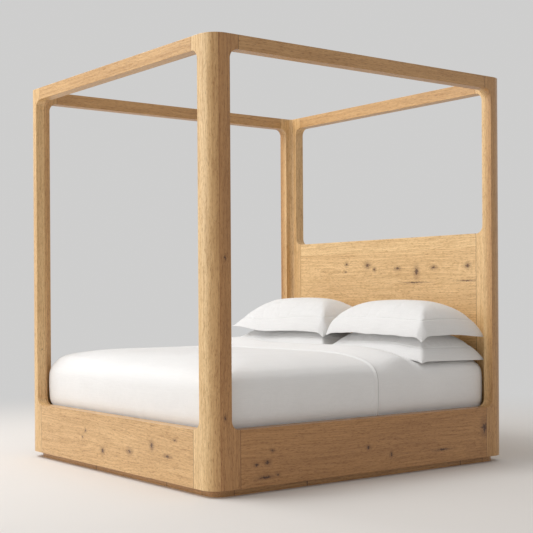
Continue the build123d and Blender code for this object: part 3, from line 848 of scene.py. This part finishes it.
class BED_OT_oak_frame(bpy.types.Operator):
    """Finish posts, rails, headboard and plinth in oak"""

    bl_idname = "bed.oak_frame"
    bl_label = "Oak frame"

    def execute(self, context):
        ensure_groups()
        # Tones of the posts, raised on the near foot post and the right head post as painted light
        posts = {"foot_left": 1.0, "foot_right": 1.08, "head_left": 0.98, "head_right": 1.06}
        for index, (place, tone) in enumerate(posts.items()):
            name = f"post_{place}"
            knots = POST_KNOTS if place == "foot_right" else ()
            pith = (0.16 - 0.03 * index, 0.11 + 0.04 * index)
            paint(name, oak_material(name, "Z", pith, tone, knots=knots, across="Y", post=True))
        # The tones are painted light and shade: raised on the lit foot rails and headboard, lowered on the
        # shaded side rails
        rails = {
            "canopy_rail_foot": ("X", (0.09, -0.06), 1.03, ()),
            "canopy_rail_head": ("X", (-0.08, -0.07), 1.0, ()),
            "canopy_rail_left": ("Y", (0.07, -0.09), 0.92, ()),
            "canopy_rail_right": ("Y", (-0.05, 0.08), 0.90, ()),
            "base_rail_foot": ("X", (0.14, -0.03), 1.07, FOOT_RAIL_KNOTS),
            "base_rail_head": ("X", (-0.15, 0.05), 0.98, ()),
            "base_rail_left": ("Y", (0.13, 0.04), 0.82, ()),
            "base_rail_right": ("Y", (0.15, -0.05), 0.78, SIDE_RAIL_KNOTS),
            "headboard_rail": ("X", (0.10, 0.07), 1.21, ()),
            "headboard_board_1": ("X", (0.12, 0.03), 1.15, ()),
            "headboard_board_2": ("X", (0.13, -0.08), 1.16, HEADBOARD_KNOTS),
            "headboard_board_3": ("X", (0.11, 0.05), 1.17, HEADBOARD_KNOTS),
        }
        for name, (axis, pith, tone, knots) in rails.items():
            paint(name, oak_material(name, axis, pith, tone, knots=knots, seams=()))
        # The plinth's lower tones are painted shade under the rails
        for end in ("foot", "head"):
            for side in ("left", "right"):
                name = f"plinth_corner_{end}_{side}"
                paint(name, oak_material(name, "X", (0.08, 0.06), 0.86))
        for place, axis in (("foot", "X"), ("head", "X"), ("left", "Y"), ("right", "Y")):
            name = f"plinth_boards_{place}"
            seams = PLINTH_END_SEAMS if axis == "X" else PLINTH_SIDE_SEAMS
            paint(name, oak_material(name, axis, (0.07, 0.05), 0.88, seams=seams))
        return {"FINISHED"}


# Light grain, dark grain, pores and knots of the timbers under the bedding
PINE = ((0.740, 0.570, 0.350), (0.600, 0.390, 0.190), (0.520, 0.330, 0.160), (0.220, 0.110, 0.045))
BEECH = ((0.680, 0.470, 0.280), (0.560, 0.350, 0.190), (0.400, 0.230, 0.120), (0.260, 0.140, 0.070))


class BED_OT_slat_base(bpy.types.Operator):
    """Finish slats, cleats, centre beam, legs and tenons in planed softwood and beech"""

    bl_idname = "bed.slat_base"
    bl_label = "Slat base"

    def execute(self, context):
        ensure_groups()
        pieces = {f"slat_{index:02d}": "X" for index in range(1, 13)}
        pieces.update(dict.fromkeys(("slat_cleat_left", "slat_cleat_right", "centre_beam"), "Y"))
        pieces["loose_tenons"] = "X"
        pieces.update({f"centre_leg_{index}": "Z" for index in range(1, 4)})
        for count, (name, axis) in enumerate(pieces.items()):
            timber, colours = ("beech", BEECH) if name == "loose_tenons" else ("pine", PINE)
            tone = 1.0 + 0.05 * math.sin(count * 2.4)
            paint(name, timber_material(f"{timber}_{name}", colours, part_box(name), axis, (0.05, 0.09), tone))
        return {"FINISHED"}


class BED_OT_hardware(bpy.types.Operator):
    """Finish tie plates, hangers, bolts, inserts and screw levellers"""

    bl_idname = "bed.hardware"
    bl_label = "Hardware"

    def execute(self, context):
        bronzed = metal_material("bronzed_steel", (0.090, 0.070, 0.050), 0.7, 0.45, 0.5)
        zinc = metal_material("zinc_steel", (0.620, 0.620, 0.600), 1.0, 0.32, 0.4)
        plastic = metal_material("pad_plastic", (0.030, 0.030, 0.030), 0.0, 0.60, 0.3)
        for name in ("tie_plates", "beam_hangers"):
            paint(name, bronzed)
        for name in ("connector_bolts", "leg_inserts", *(f"leveller_stem_{index}" for index in range(1, 4))):
            paint(name, zinc)
        for index in range(1, 4):
            paint(f"leveller_pad_{index}", plastic)
        return {"FINISHED"}


class BED_OT_mattress(bpy.types.Operator):
    """Make the mattress in its fitted sheet"""

    bl_idname = "bed.mattress"
    bl_label = "Mattress"

    def execute(self, context):
        ensure_groups()
        bedding = context.scene.bed_bedding
        steps = (3, 3, 3, 8, 4, 4, 4, 6, 8, 8)
        rings = bed_rings(spline_through(MATTRESS_PROFILE, steps), bedding.cover, 0.0)
        mattress = skin_rings("mattress_sheet", rings)
        count = len(rings[0])
        close_ring(mattress, 0, count)
        close_ring(mattress, (len(rings) - 1) * count, count)
        edit_all(mattress, (bpy.ops.mesh.normals_make_consistent, {"inside": False}))
        apply_modifier(mattress, "SUBSURF", levels=1, render_levels=1)
        points = points_of(mattress)
        rise = np.minimum(folds(points, SHEET_FOLDS, SHEET_SWELL), SHEET_RISE) - SHEET_DRAW
        points = points + points_of(mattress, "normal") * rise[:, None]
        points[:, 2] += swell_before_pillows(points)
        set_points(mattress, points)
        cotton = cotton_material("sheet_cotton", bedding.sheet, 0.0009, 0.5, 0.05)
        finish_soft(mattress, cotton, "sheet_cotton", "mattress")
        return {"FINISHED"}


class BED_OT_coverlet(bpy.types.Operator):
    """Make the coverlet over the foot half of the mattress, with its hem"""

    bl_idname = "bed.coverlet"
    bl_label = "Coverlet"

    def execute(self, context):
        ensure_groups()
        bedding = context.scene.bed_bedding
        profile = [(MATTRESS_PROFILE[0][0], COVERLET_TUCK - SLAT_TOP), *MATTRESS_PROFILE[1:]]
        steps = (3, 3, 3, 8, 5, 5, 5, 6, 8, 8)
        rings = bed_rings(spline_through(profile, steps), bedding.cover + COVERLET_SPACE, COVERLET_SPACE)
        coverlet = skin_rings("coverlet_cloth", rings)
        count = len(rings[0])
        close_ring(coverlet, (len(rings) - 1) * count, count)
        edit_all(coverlet, (bpy.ops.mesh.normals_make_consistent, {"inside": False}))
        for share in HEM_CUTS:
            place = (0, COVERLET_EDGE - share * bedding.hem, 0)
            cut = {"plane_co": place, "plane_no": (0, 1, 0), "clear_outer": share == 0, "threshold": 0.0002}
            edit_all(coverlet, (bpy.ops.mesh.bisect, cut))
        apply_modifier(coverlet, "SUBSURF", levels=1, render_levels=1)
        points = points_of(coverlet)
        lift = np.maximum(folds(points, COVERLET_FOLDS, COVERLET_SWELL), -COVERLET_SINK) + COVERLET_SINK
        across_hem = np.clip((points[:, 1] - COVERLET_EDGE) / bedding.hem + 1, 0, 1)
        lift += HEM_ROLL * np.sin(math.pi * across_hem**HEM_LEAN)
        set_points(coverlet, points + points_of(coverlet, "normal") * lift[:, None])
        apply_modifier(coverlet, "SOLIDIFY", thickness=bedding.cloth, offset=1.0)
        cotton = cotton_material("coverlet_cotton", bedding.coverlet, 0.0012, 0.7, 0.08, with_hem_shadow=True)
        finish_soft(coverlet, cotton, "coverlet_cotton", "coverlet")
        return {"FINISHED"}


# Grid lines near the edge of a pillow case: its rim, its flange, the stitching and the first of the body
CASE_EDGE = (0.0, 0.0012, 0.0040, 0.0110, 0.0210, 0.0310, 0.0395, 0.0425, 0.0450, 0.0475, 0.0510, 0.0580)
STITCH_LINE = 8
CASE_SPACING = 0.0110
CASE_RIM = 0.005
STITCH_DEPTH = 0.0045

# Pillows: how far the inner end of the front stands back, how far the sides pull in between the corners, the
# reach of a hanging corner, and the width over which the ridge up from a corner is rounded
PILLOW_SKEW = 0.048
PILLOW_PULL = 0.012
HANG_REACH = 0.034
RIDGE_WIDTH = 0.15


def case_lines(length):
    """Grid lines across a pillow case, close together on its flange and at its stitching."""
    edge = np.array(CASE_EDGE)
    first = edge[-1] + CASE_SPACING
    inner = np.linspace(first, length - first, int((length - 2 * first) / CASE_SPACING))
    return np.concatenate([edge, inner, length - edge[::-1]]) / length


def puffed(distance, reach, fullness):
    """Rise of a filled case at a distance from its edge, full at a reach."""
    t = np.clip(distance / reach, 0.0, 1.0)
    return (1 - (1 - t) ** 2) ** fullness


def soft_minimum(first, second, width):
    """Lesser of two values with the crease between them rounded over a width."""
    gap = np.maximum(width - np.abs(first - second), 0.0) / width
    return np.minimum(first, second) - gap * gap * width / 4


def station_curve(table, column):
    """A pillow's station values as a fine smooth curve over its width."""
    line = spline_through(table[:, [0, column]], (12,) * (len(table) - 1))
    return line[:, 0], line[:, 1]


def pillow_points(name, stations, crown, tip_lift, arch, fullness, droop, ripple, seed):
    """Upper and lower points of a pillow as two grids."""
    low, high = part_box(name)
    right = low.x + high.x > 0
    inner, outer = (low.x, high.x) if right else (high.x, low.x)
    width, depth = abs(outer - inner), high.y - low.y
    u, v = np.meshgrid(case_lines(width), case_lines(depth), indexing="ij")
    table = np.array(stations)
    rim_front, rim_back, under = [np.interp(u, *station_curve(table, column)) for column in (1, 2, 3)]
    lifted = smooth_step(u, 0.62, 1.0)
    rim_front = rim_front + tip_lift * lifted
    rim_back = rim_back + tip_lift * 0.5 * lifted
    middle_rim = (rim_front + rim_back) / 2

    # The sides pull in between the corners, and the front corners hang
    outward = (outer - inner) / width
    ends = np.clip(1 - 4 * u, 0, 1) - np.clip(4 * u - 3, 0, 1)
    sides = np.clip(1 - 4 * v, 0, 1) - np.clip(4 * v - 3, 0, 1)
    front = low.y + PILLOW_SKEW * (1 - u)
    x = inner + (outer - inner) * u + outward * PILLOW_PULL * (1 - (2 * v - 1) ** 2) * ends
    y = front + (high.y - front) * v + PILLOW_PULL * (1 - (2 * u - 1) ** 2) * sides
    from_ends = np.minimum(u, 1 - u) * width
    from_sides = np.minimum(v, 1 - v) * depth
    from_edge = np.minimum(from_ends, from_sides)
    hanging = np.where(u < 0.5, droop[0], droop[1]) * (v < 0.5)
    hanging = hanging * np.exp(-((from_ends / HANG_REACH) ** 2) - (from_sides / HANG_REACH) ** 2)
    x = x + outward * 0.5 * hanging * np.sign(0.5 - u)
    y = y + 0.5 * hanging

    # Both faces rise from the rim, with a ridge up from each corner
    reach = depth / 2
    filled = fullness[0] + (fullness[1] - fullness[0]) * u
    over_ends = puffed(from_ends, reach, filled)
    over_sides = puffed(from_sides, reach, filled)
    rise = np.maximum(soft_minimum(over_ends, over_sides, RIDGE_WIDTH), 0.0)
    bow = arch * 4 * v * (1 - v) * smooth_step(u, 0.78, 1.0)
    rim = rim_front + (rim_back - rim_front) * v - hanging + bow
    peak = crown * (1 - 0.08 * (2 * u - 1) ** 2) - middle_rim
    top = rim + rise * peak
    bottom = rim + np.minimum(over_ends, over_sides) * (under - middle_rim)

    # The rim ripples a little and has the thickness of the hemmed case
    grid = np.stack([x, y, np.zeros_like(x)], axis=-1).reshape(-1, 3)
    sway = waves(grid, (8, 8, 0), seed) * 0.7 + waves(grid, (19, 19, 0), seed + 5) * 0.3
    sway = sway.reshape(x.shape) * ripple * (1 - smooth_step(from_edge, 0.0, 0.10))
    top = MATTRESS_TOP + top + sway + CASE_RIM / 2
    bottom = MATTRESS_TOP + bottom + sway - CASE_RIM / 2
    return np.stack([x, y, top], axis=-1), np.stack([x, y, bottom], axis=-1)


def pillow_mesh(name, upper, lower):
    """Closed mesh of a pillow from its two grids."""
    rows, columns = upper.shape[:2]
    count = rows * columns
    faces = []
    for row in range(rows - 1):
        for column in range(columns - 1):
            a = row * columns + column
            b, c, d = a + columns, a + columns + 1, a + 1
            faces.append((a, b, c, d))
            faces.append((count + d, count + c, count + b, count + a))
    rim = list(range(columns))
    rim += [row * columns + columns - 1 for row in range(1, rows)]
    rim += [(rows - 1) * columns + column for column in range(columns - 2, -1, -1)]
    rim += [row * columns for row in range(rows - 2, 0, -1)]
    for a, b in zip(rim, rim[1:] + rim[:1]):
        faces.append((a, b, count + b, count + a))
    made = mesh_object(name, np.vstack([upper.reshape(-1, 3), lower.reshape(-1, 3)]), faces)
    edit_all(made, (bpy.ops.mesh.normals_make_consistent, {"inside": False}))
    return made


def lines_from_rim(rows, columns):
    """Number of grid lines between each point of one face of a case and its rim."""
    row, column = np.divmod(np.arange(rows * columns), columns)
    return np.minimum(np.minimum(row, rows - 1 - row), np.minimum(column, columns - 1 - column))


def press_stitching(pillow, rows, columns):
    """Draw the case in along its stitching, on the upper face."""
    points = points_of(pillow)
    depth = np.zeros(len(points))
    depth[: rows * columns] = np.where(lines_from_rim(rows, columns) == STITCH_LINE, STITCH_DEPTH, 0.0)
    set_points(pillow, points - points_of(pillow, "normal") * depth[:, None])


def puff(pillow, rows, columns, bedding):
    """Fill a case by a cloth simulation that holds its underside and its flange."""
    free = np.zeros(2 * rows * columns, bool)
    free[: rows * columns] = lines_from_rim(rows, columns) > STITCH_LINE
    held = pillow.vertex_groups.new(name="held")
    held.add([int(index) for index in np.flatnonzero(~free)], 1.0, "REPLACE")
    before = points_of(pillow)
    cloth = pillow.modifiers.new("Puff", "CLOTH")
    cloth.settings.quality = 4
    cloth.settings.use_pressure = True
    cloth.settings.uniform_pressure_force = bedding.pressure
    cloth.settings.vertex_group_mass = "held"
    cloth.settings.shrink_min = -bedding.slack
    cloth.settings.effector_weights.gravity = 0.0
    cloth.collision_settings.use_collision = False
    cloth.point_cache.frame_start = 1
    cloth.point_cache.frame_end = bedding.frames
    scene = bpy.context.scene
    for step in range(1, bedding.frames + 1):
        scene.frame_set(step)
    bpy.ops.object.modifier_apply(modifier="Puff")
    scene.frame_set(1)
    pillow.vertex_groups.clear()
    move = points_of(pillow) - before
    length = np.maximum(np.linalg.norm(move, axis=1, keepdims=True), 1e-9)
    set_points(pillow, before + move * bedding.puff_limit * np.tanh(length / bedding.puff_limit) / length)


class BED_OT_pillows(bpy.types.Operator):
    """Make the four pillows in flanged cases"""

    bl_idname = "bed.pillows"
    bl_label = "Pillows"

    def execute(self, context):
        ensure_groups()
        bedding = context.scene.bed_bedding
        cotton = cotton_material("pillow_linen", bedding.pillow, 0.0013, 1.0, 0.06)
        # Stations, crown, lift of the outer tip, arch of the outer end, fullness and droop at the inner and
        # outer end, ripple of the rim and seed
        plan = {
            "lower_left": (LOWER_STATIONS, 0.143, 0.068, 0.0, (0.70, 0.95), (0.0, 0.0), 0.001, 11.0),
            "lower_right": (LOWER_STATIONS, 0.143, 0.0, 0.0, (1.25, 0.74), (0.0, 0.010), 0.001, 17.0),
            "upper_left": (UPPER_STATIONS, 0.336, 0.038, 0.0, (0.60, 1.10), (0.026, 0.0), 0.005, 23.0),
            "upper_right": (UPPER_STATIONS, 0.316, 0.0, 0.016, (0.60, 0.66), (0.012, 0.028), 0.005, 29.0),
        }
        for place, shape in plan.items():
            name = f"pillow_{place}"
            upper, lower = pillow_points(name, *shape)
            pillow = pillow_mesh(f"case_{name}", upper, lower)
            puff(pillow, *upper.shape[:2], bedding)
            press_stitching(pillow, *upper.shape[:2])
            apply_modifier(pillow, "SUBSURF", levels=1, render_levels=1)
            finish_soft(pillow, cotton, "pillow_linen", name)
        return {"FINISHED"}


# Stage: radius of the floor and where it fades into the background, tint of the even light, places and sizes
# of the lamps and the point that they look at, and the camera's place, turns in degrees, sensor and shift
FLOOR_RADIUS = 24.0
FLOOR_FADE = (2.0, 5.5)
EVEN_TINT = (1.0, 0.985, 0.965)
KEY_LAMP = ((-3.2, -3.8, 7.0), (6.0, 5.0))
SHEEN_LAMP = ((-2.3, -8.5, 2.7), (8.4, 3.2))
LAMP_AIM = (0.0, 0.0, 0.7)
CAMERA_PLACE = (5.7618, -4.3298, 1.0239)
CAMERA_TURNS = (90, 0.339, 52.814)
CAMERA_SENSOR = 36.0
CAMERA_SHIFT = 0.0574


def add_floor(settings):
    """Pale floor that keeps the bed's shadow and fades into the background."""
    bpy.ops.object.select_all(action="DESELECT")
    bpy.ops.mesh.primitive_circle_add(vertices=128, radius=FLOOR_RADIUS, fill_type="NGON", location=(0, 0, 0))
    floor = bpy.context.object
    floor.name = "floor"
    material, tree, shader, coords = new_material("floor_pale")
    cloud = grain_noise(tree, coords, (0.6, 0.6, 0.6), 3.0)
    paler = tuple(min(1.0, channel * 1.03) for channel in settings.floor)
    feed(tree, shader, {"Base Color": mix(tree, cloud, settings.floor, paler), "Roughness": 0.8})
    away = fade(tree, vector_calc(tree, "LENGTH", coords), *FLOOR_FADE)
    seen = node(tree, "ShaderNodeLightPath").outputs["Is Camera Ray"]
    glow = node(tree, "ShaderNodeEmission", {"Color": opaque(settings.backdrop), "Strength": 1.0})
    inputs = {0: times(tree, away, seen), 1: shader.outputs[0], 2: glow.outputs[0]}
    blend = node(tree, "ShaderNodeMixShader", inputs)
    feed(tree, tree.nodes["Material Output"], {"Surface": blend.outputs[0]})
    floor.data.materials.append(material)


def add_world(settings):
    """Even light from all round, behind a plain background."""
    world = bpy.data.worlds.new("studio")
    bpy.context.scene.world = world
    world.use_nodes = True
    tree = world.node_tree
    tree.nodes.clear()
    path = node(tree, "ShaderNodeLightPath").outputs
    seen = calc(tree, "MAXIMUM", path["Is Camera Ray"], path["Is Glossy Ray"])
    seen = calc(tree, "MAXIMUM", seen, path["Is Transmission Ray"])
    even = node(tree, "ShaderNodeBackground", {"Color": opaque(EVEN_TINT), "Strength": settings.ambient})
    behind = node(tree, "ShaderNodeBackground", {"Color": opaque(settings.backdrop), "Strength": 1.0})
    both = node(tree, "ShaderNodeMixShader", {0: seen, 1: even.outputs[0], 2: behind.outputs[0]})
    node(tree, "ShaderNodeOutputWorld", {"Surface": both.outputs[0]})


def add_lamp(name, place, size, power):
    """Large soft lamp that looks at the middle of the bed."""
    bpy.ops.object.light_add(type="AREA", location=place)
    lamp = bpy.context.object
    lamp.name = name
    lamp.data.shape = "RECTANGLE"
    lamp.data.size, lamp.data.size_y = size
    lamp.data.energy = power
    aim = Vector(LAMP_AIM) - lamp.location
    lamp.rotation_euler = aim.to_track_quat("-Z", "Y").to_euler()


def add_camera(settings):
    """Camera at the photograph's viewing angle."""
    data = bpy.data.cameras.new("camera")
    camera = bpy.data.objects.new("camera", data)
    bpy.context.scene.collection.objects.link(camera)
    camera.location = CAMERA_PLACE
    camera.rotation_euler = [math.radians(turn) for turn in CAMERA_TURNS]
    data.lens = settings.lens
    data.sensor_width = CAMERA_SENSOR
    data.shift_y = CAMERA_SHIFT
    bpy.context.scene.camera = camera


class BED_OT_stage(bpy.types.Operator):
    """Make the floor, the light and the camera"""

    bl_idname = "bed.stage"
    bl_label = "Stage"

    def execute(self, context):
        settings = context.scene.bed_stage
        add_floor(settings)
        add_world(settings)
        add_lamp("key_lamp", *KEY_LAMP, settings.key)
        add_lamp("sheen_lamp", *SHEEN_LAMP, settings.sheen)
        add_camera(settings)
        context.scene.view_settings.view_transform = "Standard"
        return {"FINISHED"}


class BED_PT_pieces(bpy.types.Panel):
    """Pieces of the bed"""

    bl_idname = "BED_PT_pieces"
    bl_label = "Canopy Bed"
    bl_space_type = "VIEW_3D"
    bl_region_type = "UI"
    bl_category = "Bed"

    def draw(self, context):
        for operator in OPERATORS:
            self.layout.operator(operator.bl_idname)
        for group in (context.scene.bed_oak, context.scene.bed_bedding, context.scene.bed_stage):
            for name in group.__annotations__:
                self.layout.prop(group, name)


OPERATORS = (
    BED_OT_oak_frame,
    BED_OT_slat_base,
    BED_OT_hardware,
    BED_OT_mattress,
    BED_OT_coverlet,
    BED_OT_pillows,
    BED_OT_stage,
)
CLASSES = (OakSettings, BeddingSettings, StageSettings, *OPERATORS, BED_PT_pieces)


def register():
    """Add the classes and the settings that they keep on the scene."""
    for item in CLASSES:
        bpy.utils.register_class(item)
    bpy.types.Scene.bed_oak = PointerProperty(type=OakSettings)
    bpy.types.Scene.bed_bedding = PointerProperty(type=BeddingSettings)
    bpy.types.Scene.bed_stage = PointerProperty(type=StageSettings)


def unregister():
    """Take the settings and the classes away again."""
    del bpy.types.Scene.bed_stage
    del bpy.types.Scene.bed_bedding
    del bpy.types.Scene.bed_oak
    for item in reversed(CLASSES):
        bpy.utils.unregister_class(item)


def main():
    """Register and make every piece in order."""
    register()
    bpy.ops.bed.oak_frame()
    bpy.ops.bed.slat_base()
    bpy.ops.bed.hardware()
    bpy.ops.bed.mattress()
    bpy.ops.bed.coverlet()
    bpy.ops.bed.pillows()
    bpy.ops.bed.stage()


if __name__ == "__main__":
    main()
